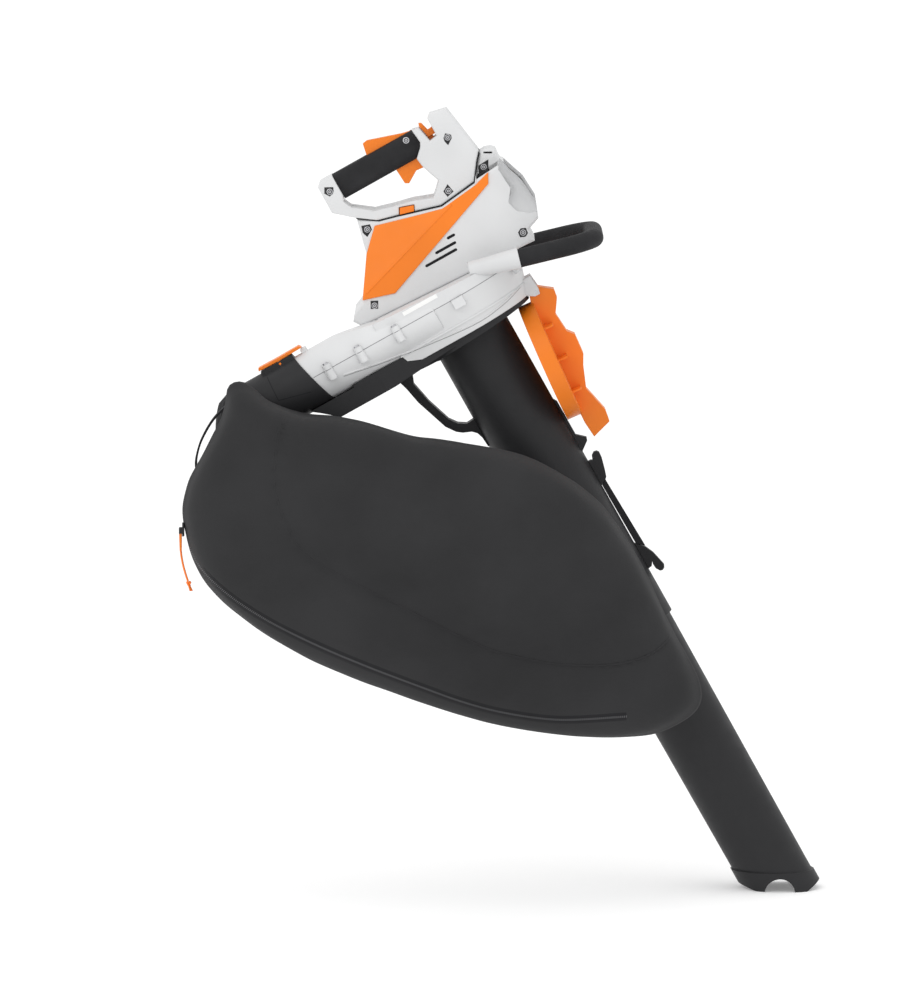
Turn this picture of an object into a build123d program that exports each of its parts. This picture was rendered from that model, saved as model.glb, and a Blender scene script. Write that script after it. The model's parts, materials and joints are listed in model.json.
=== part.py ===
"""Hand-held leaf vacuum mulcher: battery motor unit, fan scroll, two-piece suction tube and bag.

The origin is the centre of the suction mouth on the ground, +Z is up, +X points away from the
bag, and -Y is the side that carries the fan outlet and the bag. The tube leans back by TILT, so
most pieces are drawn in (r, h): r across the tube axis towards +X, h along the tube axis upwards.
"""

import os
from math import cos, radians, sin

from build123d import *

os.makedirs("parts", exist_ok=True)

# Driving dimensions, in millimetres and degrees
TILT = 29.3  # lean of the suction tube from the vertical
WALL = 3.0  # moulded shells
UPPER_TUBE_R = 57.5
LOWER_TUBE_R = 52.0
LOWER_BORE_R = 48.0
TUBE_SPLIT = 436  # lower rim of the upper tube
TUBE_TOP = 934
FAN_FLOOR = 939
FAN_SEAM = 994
FAN_ROOF = 1013  # at the tube axis; the roof slopes down towards +r
DUCT_Y = -82
DUCT_H = 990.5
DUCT_R = 40
ADAPTER_R = 42.5
ADAPTER_BORE_R = 38.5
HOUSING_HALF = 58  # half width of the motor housing
MOTOR_R = 36
SHAFT_R = 5
BOW_HALF = 104  # centre of each leg of the bow handle
BOW_R = 13.5
BOW_CORE_R = 9
GRIP_HALF = 18
FIT = 0.06  # running clearance of a pin in its hole
FLAP_R = 89

LEAN = radians(TILT)
UP_TUBE = Vector(-sin(LEAN), 0, cos(LEAN))
ACROSS = Vector(cos(LEAN), 0, sin(LEAN))
side = Plane(origin=(0, 0, 0), x_dir=ACROSS, z_dir=(0, -1, 0))  # (r, h), facing the near side
deck = Plane(origin=(0, 0, 0), x_dir=ACROSS, z_dir=UP_TUBE)  # (r, y), facing up the tube
upright = Plane(origin=(0, 0, 0), x_dir=(1, 0, 0), z_dir=(0, -1, 0))  # (x, z)


def direction(r, h, y=0.0):
    """World direction from its (r, h, y) components."""
    return ACROSS * r + UP_TUBE * h + Vector(0, y, 0)


def facing(place, x_dir, z_dir):
    """Plane at a place, all three given in (r, h, y)."""
    return Plane(origin=direction(*place), x_dir=direction(*x_dir), z_dir=direction(*z_dir))


def through(a, b, c):
    """Plane through three (r, h, y) places, its normal pointing to the near side."""
    p, q, s = direction(*a), direction(*b), direction(*c)
    normal = (q - p).cross(s - p)
    if normal.Y > 0:
        normal = normal * -1
    return Plane(origin=p, x_dir=q - p, z_dir=normal)


def side_rims(part):
    """Edges around the outermost faces on the near side."""
    faces = part.faces().filter_by(lambda f: f.normal_at().Y < -0.75 and f.center().Y < -20)
    rims = faces.edges()
    return [edge for edge in rims if sum(edge.is_same(other) for other in rims) == 1]


def roundable(part, edges, radius):
    """Those edges that have room for a fillet of this radius."""
    taken = []
    for edge in edges:
        try:
            part.solids()[0].fillet(radius, taken + [edge])
        except ValueError:
            continue
        taken.append(edge)
    return taken


# Boundary surfaces that several pieces share
seam_line = [(-61, 1159), (-34, 1140), (-7, 1133), (55, 1115), (113, 1121.5), (131, 1146), (140, 1156)]
handle_side = through((0, 1110, -44), (50, 1110, -44), (0, 1240, -26))
shoulder = through((-100, 1058, -HOUSING_HALF), (69, 1110, -HOUSING_HALF), (-34, 1138, -41))
roof = facing((0, FAN_ROOF, 0), (1, -0.049, 0), (0.049, 1, 0))
outlet_end = facing((-223.5, 991, DUCT_Y), (-0.27, 0.963, 0), (-0.963, -0.27, 0))
bag_mouth = facing((-295, 985, DUCT_Y), (-0.47, 0.88, 0), (0.88, 0.47, 0))

# ---------------------------------------------------------------- clamshell screws
# Seat of each screw: (r, h, y)
handle_screw_seats = [(110.5, 1195, -27), (74, 1127.6, -36), (-76, 1209.5, -26)]
housing_screw_seats = [(135, 1132.5, -30), (-55, 1136, -34), (-99, 1036.5, -54), (139, 1024, -54)]
handle_recesses = [[(105, 1197), (110.5, 1202), (117, 1196), (115, 1191), (106, 1185), (104, 1192)],
                   [(77.8, 1137), (67.5, 1130.5), (69, 1121), (80.5, 1123.5)],
                   [(-79.5, 1219), (-68, 1213), (-71, 1207), (-79, 1203.5), (-84, 1211)]]
housing_recesses = [[(129, 1138), (146.4, 1139), (139, 1125.2), (123.4, 1124.8)],
                    [(-60, 1145), (-48, 1141), (-49, 1133), (-60, 1127), (-63, 1135)],
                    [(-100.4, 1045.5), (-90.5, 1040.5), (-96.5, 1030), (-106, 1035)],
                    [(139, 1031), (133, 1028), (132, 1020), (139, 1017), (145, 1020), (146, 1028)]]
fan_screw_places = [(-198, -124), (-147, -124), (-86, -124), (106, -64), (19, 114), (-64, 96)]  # (r, y)

with BuildPart() as handle_screws:
    for r, h, y in handle_screw_seats:
        with BuildSketch(side.offset(-y)):
            with Locations((r, h)):
                Circle(4.5)
        extrude(amount=-3)
        with BuildSketch(side.offset(-y - 3)):
            with Locations((r, h)):
                Circle(2)
        extrude(amount=-18)
    handle_screws.part.label = "handle_screws"
    export_step(handle_screws.part, "parts/handle_screws.step")

with BuildPart() as housing_screws:
    for r, h, y in housing_screw_seats:
        with BuildSketch(side.offset(-y)):
            with Locations((r, h)):
                Circle(4.5)
        extrude(amount=-3)
        with BuildSketch(side.offset(-y - 3)):
            with Locations((r, h)):
                Circle(2)
        extrude(amount=-18)
    housing_screws.part.label = "housing_screws"
    export_step(housing_screws.part, "parts/housing_screws.step")

# ---------------------------------------------------------------- fan scroll, as plain blocks and their hollows
scroll_tongue = (-101, -48)


def scroll_plan(inset):
    """Spiral plan of the fan scroll on the deck, drawn in by the inset."""
    with BuildSketch(mode=Mode.PRIVATE) as plan:
        with BuildLine():
            back = ThreePointArc(scroll_tongue, (-86, 71.7), (0, 112))
            turn = TangentArc(back @ 1, (117.5, 0), tangent=(1, 0))
            mouth = TangentArc(turn @ 1, (0, -122), tangent=(0, -1))
            Polyline(mouth @ 1, (-112, -118), scroll_tongue)
        make_face()
        if inset:
            offset(amount=-inset, kind=Kind.INTERSECTION, mode=Mode.REPLACE)
    return plan.sketch


with BuildPart() as upper_block:
    with BuildSketch(deck.offset(FAN_SEAM)):
        add(scroll_plan(0))
    extrude(amount=50)
    split(bisect_by=roof, keep=Keep.BOTTOM)

with BuildPart() as lower_block:
    with BuildSketch(deck.offset(FAN_SEAM)):
        add(scroll_plan(0))
    extrude(amount=FAN_FLOOR - FAN_SEAM, taper=18)

with BuildPart() as upper_hollow:
    with BuildSketch(deck.offset(FAN_SEAM)):
        add(scroll_plan(WALL))
    extrude(amount=50)
    split(bisect_by=roof.offset(-WALL), keep=Keep.BOTTOM)

with BuildPart() as lower_hollow:
    with BuildSketch(deck.offset(FAN_SEAM)):
        add(scroll_plan(WALL))
    extrude(amount=FAN_FLOOR + WALL - FAN_SEAM, taper=18)

duct_start = facing((-25, DUCT_H, DUCT_Y), (0, 0, 1), (-1, 0, 0))
duct_slope = facing((-110, 1018, DUCT_Y), (-1, 0.2, 0), (0.2, 1, 0))

with BuildPart() as duct_block:
    with BuildSketch(duct_start):
        Circle(DUCT_R)
    extrude(amount=240)
    split(bisect_by=outlet_end, keep=Keep.BOTTOM)
    split(bisect_by=duct_slope, keep=Keep.BOTTOM)

with BuildPart() as duct_hollow:
    with BuildSketch(duct_start.offset(3)):
        Circle(DUCT_R - WALL)
    extrude(amount=300)
    split(bisect_by=duct_slope.offset(-WALL), keep=Keep.BOTTOM)

# ---------------------------------------------------------------- upper handle unit
handle_outline = [(-88, 1223), (-82, 1228.5), (-58, 1228.5), (70, 1228.5), (81, 1226), (86, 1203)]
handle_outline += [(98, 1205), (98, 1232), (104, 1237), (129, 1231.5), (140, 1156)]
handle_outline += list(reversed(seam_line))[1:] + [(-88, 1182)]
finger_gap = [(-62, 1180), (-65, 1187), (-62, 1195), (56, 1195), (58.5, 1177), (69, 1147), (58, 1136)]
finger_gap += [(51, 1130), (24, 1140), (-6, 1147), (-32, 1154.5), (-60, 1176)]
grip_zone = [(-62, 1186), (55, 1186), (56, 1189), (69, 1201.5), (72.5, 1208), (69, 1242), (-62, 1242)]
head_cavity = [(78, 1148), (92, 1199), (101.5, 1202), (101.5, 1230), (105, 1233), (126, 1228.5)]
head_cavity += [(136, 1157), (128, 1148), (111, 1125), (64, 1119), (60, 1130)]
grip_core = [(-66, 1193), (55, 1193), (71, 1207), (71, 1225), (-66, 1225)]
trigger_slot = [(18, 1180), (52, 1180), (56, 1168), (76, 1168), (78, 1192), (66, 1204), (18, 1210)]
lever_slot = [(-9, 1207), (60, 1209), (72, 1213), (76, 1222), (72, 1240), (-9, 1240)]
button_pocket = [(0.4, 1142.2), (22, 1135), (17.5, 1125.5), (-5, 1132)]
trigger_pivot = (66, 1184)
lever_pivot = (65, 1218)

with BuildPart() as handle_near:
    with BuildSketch(side):
        Polygon(*handle_outline, align=None)
        Polygon(*finger_gap, align=None, mode=Mode.SUBTRACT)
        Polygon(*grip_zone, align=None, mode=Mode.SUBTRACT)
    extrude(amount=50)
    split(bisect_by=handle_side, keep=Keep.BOTTOM)
    fillet(roundable(handle_near.part, side_rims(handle_near.part), 3), 3)
    # Core that runs through the rubber grip, slotted for the trigger and the grip lever
    with BuildSketch(side):
        Polygon(*grip_core, align=None)
    extrude(amount=14)
    with BuildSketch(side):
        Polygon(*head_cavity, align=None)
    extrude(amount=22, mode=Mode.SUBTRACT)
    with BuildSketch(side):
        Polygon((104, 1194), (107, 1194), (107, 1212), (104, 1212), align=None)
    extrude(amount=24)
    with BuildSketch(side):
        Polygon(*trigger_slot, align=None)
        Polygon(*lever_slot, align=None)
    extrude(amount=7.6, mode=Mode.SUBTRACT)
    # Slots for the lock-out slider and its tongue
    with BuildSketch(side):
        Polygon((82, 1195), (104, 1195), (104, 1207.5), (82, 1207.5), align=None)
    extrude(amount=4.6, mode=Mode.SUBTRACT)
    with BuildSketch(side):
        Polygon((96, 1205.2), (102, 1205.2), (102, 1219.5), (96, 1219.5), align=None)
    extrude(amount=8.6, mode=Mode.SUBTRACT)
    for (r, h, y), recess in zip(handle_screw_seats, handle_recesses):
        with BuildSketch(side.offset(-y)):
            Polygon(*recess, align=None)
            with Locations((r, h)):
                Circle(5.2)
        extrude(amount=30, mode=Mode.SUBTRACT)
    with BuildSketch(side):
        with Locations(trigger_pivot, lever_pivot):
            Circle(2)
    extrude(amount=11, mode=Mode.SUBTRACT)
    add(handle_screws.part, mode=Mode.SUBTRACT)
    with BuildSketch(side.offset(24)):
        Polygon(*button_pocket, align=None)
    extrude(amount=30, mode=Mode.SUBTRACT)
    handle_near.part.label = "handle_near"
    export_step(handle_near.part, "parts/handle_near.step")

with BuildPart() as handle_far:
    mirror(handle_near.part, about=Plane.XZ)
    handle_far.part.label = "handle_far"
    export_step(handle_far.part, "parts/handle_far.step")

with BuildPart() as grip:
    with BuildSketch(side):
        Polygon((-62, 1189), (55, 1189), (69, 1201.5), (72.5, 1208), (69, 1228.5), (-62, 1228.5), align=None)
    extrude(amount=GRIP_HALF, both=True)
    fillet(grip.edges().filter_by(Axis((0, 0, 0), ACROSS)), 11)
    with BuildSketch(side):
        Polygon(*grip_core, align=None)
    extrude(amount=14, both=True, mode=Mode.SUBTRACT)
    with BuildSketch(side):
        Polygon(*trigger_slot, align=None)
        Polygon((-9, 1220), (76, 1220), (76, 1240), (-9, 1240), align=None)
    extrude(amount=7.6, both=True, mode=Mode.SUBTRACT)
    grip.part.label = "grip"
    export_step(grip.part, "parts/grip.step")

with BuildPart() as seam_gasket:
    with BuildSketch(side):
        Polygon(*seam_line, *[(r, h - 2) for r, h in reversed(seam_line)], align=None)
    extrude(amount=50)
    split(bisect_by=handle_side.offset(-1), keep=Keep.BOTTOM)
    with BuildSketch(side.offset(24)):
        Polygon(*button_pocket, align=None)
    extrude(amount=30, mode=Mode.SUBTRACT)
    mirror(about=Plane.XZ)
    seam_gasket.part.label = "seam_gasket"
    export_step(seam_gasket.part, "parts/seam_gasket.step")

# ---------------------------------------------------------------- controls
with BuildPart() as trigger:
    with BuildSketch(side):
        Polygon((22, 1194), (23.6, 1166), (29, 1163), (47, 1174), (58, 1173), (68, 1177.5), (71.5, 1187),
                (60, 1194), align=None)
        with Locations(trigger_pivot):
            Circle(2 + FIT, mode=Mode.SUBTRACT)
    extrude(amount=7, both=True)
    trigger.part.label = "trigger"
    export_step(trigger.part, "parts/trigger.step")

with BuildPart() as grip_lever:
    with BuildSketch(side):
        Polygon((-5.5, 1225), (-1.4, 1245.5), (6, 1246.7), (54.7, 1231), (67.5, 1228), (70.5, 1219),
                (66, 1214), (60, 1215.5), (52, 1225), align=None)
        with Locations(lever_pivot):
            Circle(2 + FIT, mode=Mode.SUBTRACT)
    extrude(amount=6.8, both=True)
    grip_lever.part.label = "grip_lever"
    export_step(grip_lever.part, "parts/grip_lever.step")

with BuildPart() as control_pins:
    with BuildSketch(side):
        with Locations(trigger_pivot, lever_pivot):
            Circle(2)
    extrude(amount=11, both=True)
    control_pins.part.label = "control_pins"
    export_step(control_pins.part, "parts/control_pins.step")

with BuildPart() as lock_slider:
    with BuildSketch(side):
        Polygon((85.8, 1207.8), (97.4, 1208), (97.4, 1218), (90, 1217.2), (86.6, 1230), (83, 1232),
                (81.6, 1228), align=None)
    extrude(amount=8, both=True)
    with BuildSketch(side):
        Polygon((85, 1196), (93, 1196), (93, 1209), (85, 1209), align=None)
    extrude(amount=4, both=True)
    lock_slider.part.label = "lock_slider"
    export_step(lock_slider.part, "parts/lock_slider.step")

with BuildPart() as side_button:
    with BuildSketch(side.offset(28)):
        Polygon((1.2, 1141), (20.8, 1134.4), (17, 1126.6), (-3.6, 1132.4), align=None)
    extrude(amount=15)
    side_button.part.label = "side_button"
    export_step(side_button.part, "parts/side_button.step")

with BuildPart() as power_switch:
    with BuildSketch(side):
        Polygon((88.5, 1168), (106, 1168), (106, 1184), (88.5, 1184), align=None)
    extrude(amount=8, both=True)
    power_switch.part.label = "power_switch"
    export_step(power_switch.part, "parts/power_switch.step")

# ---------------------------------------------------------------- motor housing
housing_outline = [(r, h - 2) for r, h in seam_line] + [(148, 1155), (157, 1152), (162, 1147), (161, 1133)]
housing_outline += [(176, 1090), (178, 1057), (168.6, 1031.5), (149, 1024), (148, 1000), (-126, 1000)]
housing_outline += [(-128, 1018), (-137, 1031), (-127, 1043.5), (-111, 1050), (-73, 1106.5)]
cavity_outline = [(-58, 1150), (-32, 1134), (-6, 1127.5), (54, 1110), (112, 1116), (122, 1128), (156, 1130)]
cavity_outline += [(172, 1088), (174, 1058), (166, 1035), (146, 1027), (144, 1000), (-123, 1000)]
cavity_outline += [(-125, 1018), (-133, 1031), (-125, 1040), (-108, 1047), (-69.5, 1105)]
lug_zone = [(118, 1124), (172, 1128), (172, 1166), (136, 1166)]
scoop = [(210, 1133), (161, 1133), (152.5, 1121), (155, 1089), (142, 1072), (146.6, 1056)]
scoop += [(160.6, 1044.5), (172, 1041), (210, 1041)]
battery_slot = [(138, 1042), (215, 1042), (215, 1125), (138, 1125)]
vents = [(46, 1070, 13), (31.5, 1059.5, 34), (18.8, 1050, 52)]  # centre (r, h) and length
panel_outline = [(138, 1125), (130, 1110), (-64, 1038), (-110, 1052), (-73, 1106.5), (-43, 1136)]
panel_outline += [(14, 1121), (55, 1111), (113, 1117.5)]

with BuildPart() as battery_bay:
    with BuildSketch(side):
        Polygon((61, 1039), (138, 1039), (138, 1127.6), (124, 1127.6), (112, 1114), (61, 1108), align=None)
    extrude(amount=47, both=True)
    with BuildSketch(side):
        Polygon((64, 1042), (140, 1042), (140, 1125), (125.5, 1125), (113.5, 1111), (64, 1105), align=None)
    extrude(amount=44, both=True, mode=Mode.SUBTRACT)
    # Rails that guide the battery
    with BuildSketch(side.offset(38), side.offset(-44)):
        Polygon((66, 1060), (138, 1060), (138, 1066), (66, 1066), align=None)
    extrude(amount=6)
    battery_bay.part.label = "battery_bay"
    export_step(battery_bay.part, "parts/battery_bay.step")

with BuildPart() as battery_contacts:
    with BuildSketch(side.offset(-24), side.offset(-8), side.offset(8), side.offset(22)):
        Polygon((64, 1076), (78, 1076), (78, 1096), (64, 1096), align=None)
    extrude(amount=2)
    battery_contacts.part.label = "battery_contacts"
    export_step(battery_contacts.part, "parts/battery_contacts.step")

with BuildPart() as housing_cavity:
    with BuildSketch(side):
        Polygon(*cavity_outline, align=None)
    extrude(amount=HOUSING_HALF - WALL)
    split(bisect_by=shoulder.offset(-WALL), keep=Keep.BOTTOM)

with BuildPart() as housing_half:
    with BuildSketch(side):
        Polygon(*housing_outline, align=None)
    extrude(amount=HOUSING_HALF)
    split(bisect_by=shoulder, keep=Keep.BOTTOM)
    split(bisect_by=roof, keep=Keep.TOP)
    with BuildSketch(side.offset(34)):
        Polygon(*lug_zone, align=None)
    extrude(amount=40, mode=Mode.SUBTRACT)
    fillet(roundable(housing_half.part, side_rims(housing_half.part), 4), 4)
    add(housing_cavity.part, mode=Mode.SUBTRACT)
    with BuildSketch(side):
        Polygon(*battery_slot, align=None)
    extrude(amount=44, mode=Mode.SUBTRACT)
    with BuildSketch(side):
        with Locations(Location((150.5, 1148, 0), (0, 0, -TILT))):
            SlotOverall(13, 2.6)
    extrude(amount=40, mode=Mode.SUBTRACT)
    for r, h, length in vents:
        with BuildSketch(side.offset(HOUSING_HALF - 10)):
            with Locations((r, h)):
                SlotOverall(length, 4)
        extrude(amount=20, mode=Mode.SUBTRACT)
    # Angular recesses around the screws
    for (r, h, y), recess in zip(housing_screw_seats, housing_recesses):
        with BuildSketch(side.offset(-y)):
            Polygon(*recess, align=None)
        extrude(amount=30, mode=Mode.SUBTRACT)
    add(housing_screws.part, mode=Mode.SUBTRACT)
    with BuildSketch(side.offset(24)):
        Polygon(*button_pocket, align=None)
    extrude(amount=30, mode=Mode.SUBTRACT)
    add(battery_bay.part, mode=Mode.SUBTRACT)

with BuildPart() as housing_near:
    add(housing_half.part)
    with BuildSketch(side.offset(30)):
        Polygon(*scoop, align=None)
    extrude(amount=40, mode=Mode.SUBTRACT)
    add(duct_block.part, mode=Mode.SUBTRACT)
    housing_near.part.label = "housing_near"
    export_step(housing_near.part, "parts/housing_near.step")

with BuildPart() as housing_far:
    mirror(housing_half.part, about=Plane.XZ)
    housing_far.part.label = "housing_far"
    export_step(housing_far.part, "parts/housing_far.step")

# Covers that stand 2 mm proud of the housing, creased along the shoulder
with BuildPart() as panel_bed:
    with BuildSketch(side.offset(20)):
        Polygon(*panel_outline, align=None)
    extrude(amount=HOUSING_HALF - 20)
    split(bisect_by=shoulder, keep=Keep.BOTTOM)

with BuildPart() as panel_near:
    with BuildSketch(side.offset(30)):
        Polygon(*panel_outline, align=None)
    extrude(amount=HOUSING_HALF - 28)
    split(bisect_by=shoulder.offset(2), keep=Keep.BOTTOM)
    add(panel_bed.part, mode=Mode.SUBTRACT)
    panel_near.part.label = "panel_near"
    export_step(panel_near.part, "parts/panel_near.step")

with BuildPart() as panel_far:
    mirror(panel_near.part, about=Plane.XZ)
    panel_far.part.label = "panel_far"
    export_step(panel_far.part, "parts/panel_far.step")

# ---------------------------------------------------------------- motor, shaft and fan
motor_axis = Axis(direction(0, 0), UP_TUBE)

with BuildPart() as motor_can:
    with BuildSketch(side):
        Polygon((0, 1022), (MOTOR_R, 1022), (MOTOR_R, 1096), (0, 1096), align=None)
        Polygon((0, 1025), (MOTOR_R - 2, 1025), (MOTOR_R - 2, 1093), (0, 1093), align=None, mode=Mode.SUBTRACT)
        Polygon((0, 1020), (9, 1020), (9, 1100), (0, 1100), align=None, mode=Mode.SUBTRACT)
    revolve(axis=motor_axis)
    motor_can.part.label = "motor_can"
    export_step(motor_can.part, "parts/motor_can.step")

with BuildPart() as motor_stator:
    with BuildSketch(deck.offset(1034)):
        Circle(MOTOR_R - 2)
        Circle(22, mode=Mode.SUBTRACT)
        with PolarLocations(27, 9):
            Circle(3, mode=Mode.SUBTRACT)
    extrude(amount=50)
    motor_stator.part.label = "motor_stator"
    export_step(motor_stator.part, "parts/motor_stator.step")

with BuildPart() as motor_bearings:
    with BuildSketch(deck.offset(1019), deck.offset(1092)):
        Circle(9)
        Circle(SHAFT_R + FIT, mode=Mode.SUBTRACT)
    extrude(amount=6)
    motor_bearings.part.label = "motor_bearings"
    export_step(motor_bearings.part, "parts/motor_bearings.step")

with BuildPart() as motor_mount:
    with BuildSketch(deck.offset(1009)):
        Circle(44)
        Circle(10, mode=Mode.SUBTRACT)
        with PolarLocations(28, 6):
            Circle(5.5, mode=Mode.SUBTRACT)
    extrude(amount=7)
    with BuildSketch(deck.offset(1016)):
        Circle(44)
        Circle(MOTOR_R, mode=Mode.SUBTRACT)
    extrude(amount=14)
    motor_mount.part.label = "motor_mount"
    export_step(motor_mount.part, "parts/motor_mount.step")

with BuildPart() as motor_shaft:
    with BuildSketch(deck.offset(936)):
        Circle(SHAFT_R)
    extrude(amount=166)
    motor_shaft.part.label = "motor_shaft"
    export_step(motor_shaft.part, "parts/motor_shaft.step")

with BuildPart() as motor_rotor:
    with BuildSketch(deck.offset(1036)):
        Circle(20)
        Circle(SHAFT_R, mode=Mode.SUBTRACT)
    extrude(amount=46)
    motor_rotor.part.label = "motor_rotor"
    export_step(motor_rotor.part, "parts/motor_rotor.step")

with BuildPart() as impeller:
    with BuildSketch(deck.offset(999)):
        Circle(90)
        Circle(SHAFT_R, mode=Mode.SUBTRACT)
    extrude(amount=4)
    with BuildSketch(deck.offset(951)):
        Circle(16)
        Circle(SHAFT_R, mode=Mode.SUBTRACT)
    extrude(amount=49)
    with BuildSketch(deck.offset(958)):
        with PolarLocations(51, 8):
            Rectangle(76, 3)
    extrude(amount=42)
    impeller.part.label = "impeller"
    export_step(impeller.part, "parts/impeller.step")

with BuildPart() as shredder_blade:
    with BuildSketch(deck.offset(946)):
        with Locations(Location((0, 0, 0), (0, 0, 25))):
            Rectangle(88, 18)
        Circle(12)
        Circle(SHAFT_R, mode=Mode.SUBTRACT)
    extrude(amount=4)
    shredder_blade.part.label = "shredder_blade"
    export_step(shredder_blade.part, "parts/shredder_blade.step")

with BuildPart() as blade_nut:
    with BuildSketch(deck.offset(938)):
        RegularPolygon(9, 6)
        Circle(SHAFT_R, mode=Mode.SUBTRACT)
    extrude(amount=7.5)
    blade_nut.part.label = "blade_nut"
    export_step(blade_nut.part, "parts/blade_nut.step")

with BuildPart() as control_board:
    with BuildSketch(deck.offset(1040)):
        with Locations((50, 0)):
            Rectangle(3, 70)
    extrude(amount=62)
    control_board.part.label = "control_board"
    export_step(control_board.part, "parts/control_board.step")

# ---------------------------------------------------------------- fan housing
with BuildPart() as fan_screws:
    for r, y in fan_screw_places:
        with BuildSketch(deck.offset(1002)):
            with Locations((r, y)):
                Circle(4)
        extrude(amount=2.5)
        with BuildSketch(deck.offset(982)):
            with Locations((r, y)):
                Circle(1.8)
        extrude(amount=20)
    fan_screws.part.label = "fan_screws"
    export_step(fan_screws.part, "parts/fan_screws.step")

with BuildPart() as fan_upper:
    add(upper_block.part)
    add(duct_block.part)
    split(bisect_by=deck.offset(FAN_SEAM), keep=Keep.TOP)
    with BuildSketch(deck.offset(FAN_SEAM)):
        with Locations(*fan_screw_places):
            Circle(6.5)
    extrude(amount=8)
    add(upper_hollow.part, mode=Mode.SUBTRACT)
    add(duct_hollow.part, mode=Mode.SUBTRACT)
    with BuildSketch(deck.offset(FAN_SEAM)):
        Circle(44)
    extrude(amount=40, mode=Mode.SUBTRACT)
    # Catch for the latch of the outlet adapter
    with BuildSketch(side.offset(-DUCT_Y)):
        Polygon((-213, 1026), (-213, 1036), (-220, 1037.5), (-222.5, 1034), (-220, 1026), align=None)
    extrude(amount=7, both=True)
    add(fan_screws.part, mode=Mode.SUBTRACT)
    fan_upper.part.label = "fan_upper"
    export_step(fan_upper.part, "parts/fan_upper.step")

flap_pivot = (112, 938)

with BuildPart() as fan_lower:
    add(lower_block.part)
    with BuildSketch(deck.offset(956)):
        add(scroll_plan(10.8))
    extrude(amount=3)
    add(duct_block.part)
    split(bisect_by=deck.offset(FAN_SEAM), keep=Keep.BOTTOM)
    with BuildSketch(deck.offset(FAN_SEAM)):
        with Locations(*fan_screw_places):
            Circle(6.5)
    extrude(amount=-16)
    with BuildSketch(side.offset(112)):
        Polygon((3, 979), (21, 979), (21, FAN_SEAM), (3, FAN_SEAM), align=None)
    extrude(amount=12)
    # Lugs that carry the flap's hinge pin
    with BuildSketch(side.offset(18), side.offset(-25)):
        Polygon((90, 944), (108, 932.5), (116, 932.5), (118, 940), (116, 962), (90, 962), align=None)
    extrude(amount=7)
    add(lower_hollow.part, mode=Mode.SUBTRACT)
    add(duct_hollow.part, mode=Mode.SUBTRACT)
    with BuildSketch(deck.offset(FAN_FLOOR - 10)):
        Circle(UPPER_TUBE_R)
    extrude(amount=20, mode=Mode.SUBTRACT)
    with BuildSketch(side):
        with Locations(flap_pivot):
            Circle(2.5)
    extrude(amount=30, both=True, mode=Mode.SUBTRACT)
    add(fan_screws.part, mode=Mode.SUBTRACT)
    fan_lower.part.label = "fan_lower"
    export_step(fan_lower.part, "parts/fan_lower.step")

with BuildPart() as flap_pin:
    with BuildSketch(side):
        with Locations(flap_pivot):
            Circle(2.5)
    extrude(amount=25, both=True)
    flap_pin.part.label = "flap_pin"
    export_step(flap_pin.part, "parts/flap_pin.step")

# ---------------------------------------------------------------- bow handle
bow = facing((118, 998, 0), (1, -0.28, 0), (0.28, 1, 0))
BOW_REACH = 111

with BuildPart() as bow_tube:
    with BuildLine(bow):
        FilletPolyline((-38, -BOW_HALF), (BOW_REACH, -BOW_HALF), (BOW_REACH, BOW_HALF), (-38, BOW_HALF), radius=46)
    with BuildSketch(Plane(origin=bow.from_local_coords((-38, -BOW_HALF, 0)), z_dir=bow.x_dir)):
        Circle(BOW_CORE_R)
    sweep()
    bow_tube.part.label = "bow_tube"
    export_step(bow_tube.part, "parts/bow_tube.step")

with BuildPart() as bow_sleeve:
    with BuildLine(bow):
        FilletPolyline((0, -BOW_HALF), (BOW_REACH, -BOW_HALF), (BOW_REACH, BOW_HALF), (0, BOW_HALF), radius=46)
    with BuildSketch(Plane(origin=bow.from_local_coords((0, -BOW_HALF, 0)), z_dir=bow.x_dir)):
        Circle(BOW_R)
        Circle(BOW_CORE_R, mode=Mode.SUBTRACT)
    sweep()
    bow_sleeve.part.label = "bow_sleeve"
    export_step(bow_sleeve.part, "parts/bow_sleeve.step")

with BuildPart() as bow_clamps:
    for way in (-1, 1):
        with BuildSketch(Plane(origin=bow.from_local_coords((-74, 97 * way, 0)), z_dir=bow.x_dir)):
            Circle(11.5)
        with BuildSketch(Plane(origin=bow.from_local_coords((0, BOW_HALF * way, 0)), z_dir=bow.x_dir)):
            Circle(15.5)
        loft()
    add(upper_block.part, mode=Mode.SUBTRACT)
    add(lower_block.part, mode=Mode.SUBTRACT)
    add(fan_upper.part, mode=Mode.SUBTRACT)
    add(fan_lower.part, mode=Mode.SUBTRACT)
    add(fan_screws.part, mode=Mode.SUBTRACT)
    add(bow_tube.part, mode=Mode.SUBTRACT)
    bow_clamps.part.label = "bow_clamps"
    export_step(bow_clamps.part, "parts/bow_clamps.step")

# ---------------------------------------------------------------- outlet adapter and its latch
adapter_axis = facing((-200, DUCT_H, DUCT_Y), (0, 0, 1), (-1, 0, 0))
latch_pivot = (-256, 1033)

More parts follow.
